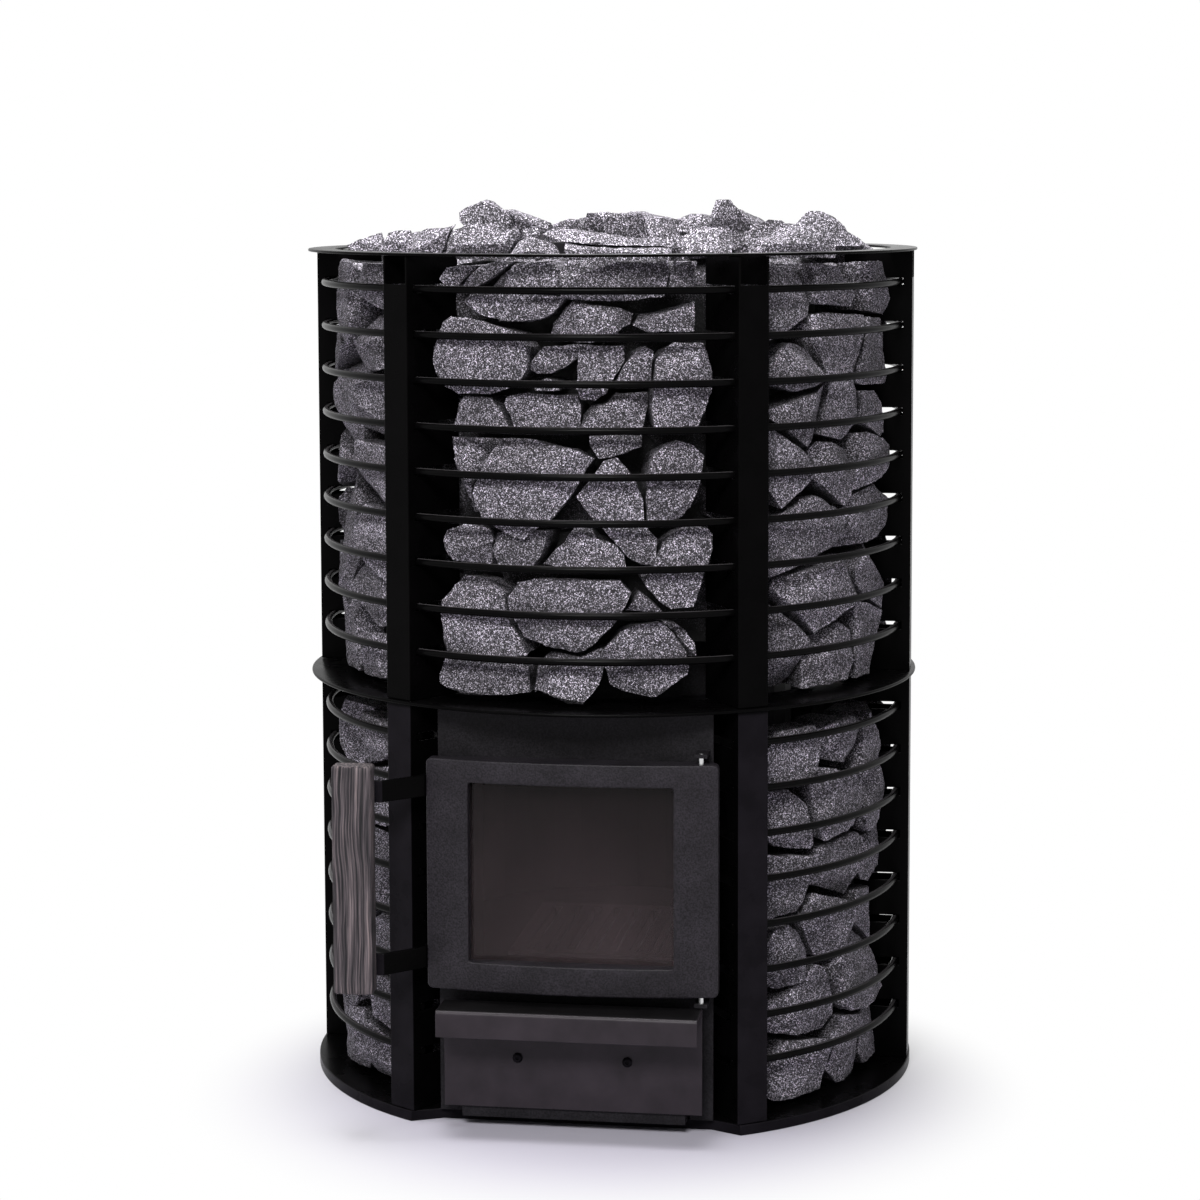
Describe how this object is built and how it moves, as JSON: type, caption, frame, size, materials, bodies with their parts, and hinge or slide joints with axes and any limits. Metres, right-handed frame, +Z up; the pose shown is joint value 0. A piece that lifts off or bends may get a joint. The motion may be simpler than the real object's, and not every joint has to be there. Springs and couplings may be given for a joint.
{
  "type": "sauna heater stove",
  "caption": "Free-standing wood-burning sauna stove: a round open cage of steel posts and rod hoops filled with stones, with a glazed fire door, wooden handle and ash drawer.",
  "frame": {"origin": "on the floor, at the axis of the round base plate", "axes": "+Z up along the stove's axis; the fire door and ash drawer face -Y; +X to the right of a person who faces the door"},
  "size_m": [0.602, 0.62, 0.865],
  "materials": {
    "black_steel": "satin black heat-proof paint",
    "firebox_steel": "matt black heat-proof paint",
    "cast_iron": "black painted casting with a fine pebbled skin",
    "drawer_steel": "satin dark grey heat-proof paint",
    "bright_steel": "bare turned steel",
    "door_glass": "clear ceramic glass, dark with the firebox behind it",
    "seal_rope": "braided dark grey glass rope",
    "handle_wood": "dark heat-treated wood with an open ridged grain",
    "stone": "rough split grey stone with light and dark speckle"
  },
  "bodies": {
    "stove": {"base_plate": "black_steel", "mid_ring": "black_steel", "top_ring": "black_steel", "lower_post_front_right": "black_steel", "lower_post_front_left": "black_steel", "lower_post_side_right": "black_steel", "lower_post_side_left": "black_steel", "lower_post_rear_right": "black_steel", "lower_post_rear_left": "black_steel", "upper_post_front_right": "black_steel", "upper_post_front_left": "black_steel", "upper_post_side_right": "black_steel", "upper_post_side_left": "black_steel", "upper_post_rear_right": "black_steel", "upper_post_rear_left": "black_steel", "upper_hoop_1": "black_steel", "upper_hoop_2": "black_steel", "upper_hoop_3": "black_steel", "upper_hoop_4": "black_steel", "upper_hoop_5": "black_steel", "upper_hoop_6": "black_steel", "upper_hoop_7": "black_steel", "upper_hoop_8": "black_steel", "upper_hoop_9": "black_steel", "lower_hoop_1": "black_steel", "lower_hoop_2": "black_steel", "lower_hoop_3": "black_steel", "lower_hoop_4": "black_steel", "lower_hoop_5": "black_steel", "lower_hoop_6": "black_steel", "lower_hoop_7": "black_steel", "lower_hoop_8": "black_steel", "firebox_shell": "firebox_steel", "firebox_floor": "firebox_steel", "firebox_roof": "firebox_steel", "smoke_baffle": "cast_iron", "flue_collar": "firebox_steel", "fire_grate": "cast_iron", "firebox_front": "firebox_steel", "upper_stones_front": "stone", "upper_stones_right": "stone", "upper_stones_rear": "stone", "upper_stones_left": "stone", "lower_stones_right": "stone", "lower_stones_rear": "stone", "lower_stones_left": "stone"},
    "door": {"door_frame": "cast_iron", "door_glass": "door_glass", "glass_retainer": "firebox_steel", "door_seal": "seal_rope", "hinge_pin_lower": "bright_steel", "hinge_pin_upper": "bright_steel", "handle_strap_upper": "black_steel", "handle_strap_lower": "black_steel", "handle_grip": "handle_wood"},
    "ash_drawer": {"ash_drawer_front": "drawer_steel", "ash_drawer_box": "firebox_steel", "drawer_screw_left": "black_steel", "drawer_screw_right": "black_steel"}
  },
  "joints": [
    {"name": "door_hinge", "type": "hinge", "parent": "stove", "child": "door", "pos_m": [0.12006, -0.264, 0.2415], "axis": [0, 0, 1], "range_deg": [0, 120]},
    {"name": "drawer_slide", "type": "slide", "parent": "stove", "child": "ash_drawer", "axis": [0, -1, 0], "range_m": [0, 0.25]}
  ]
}
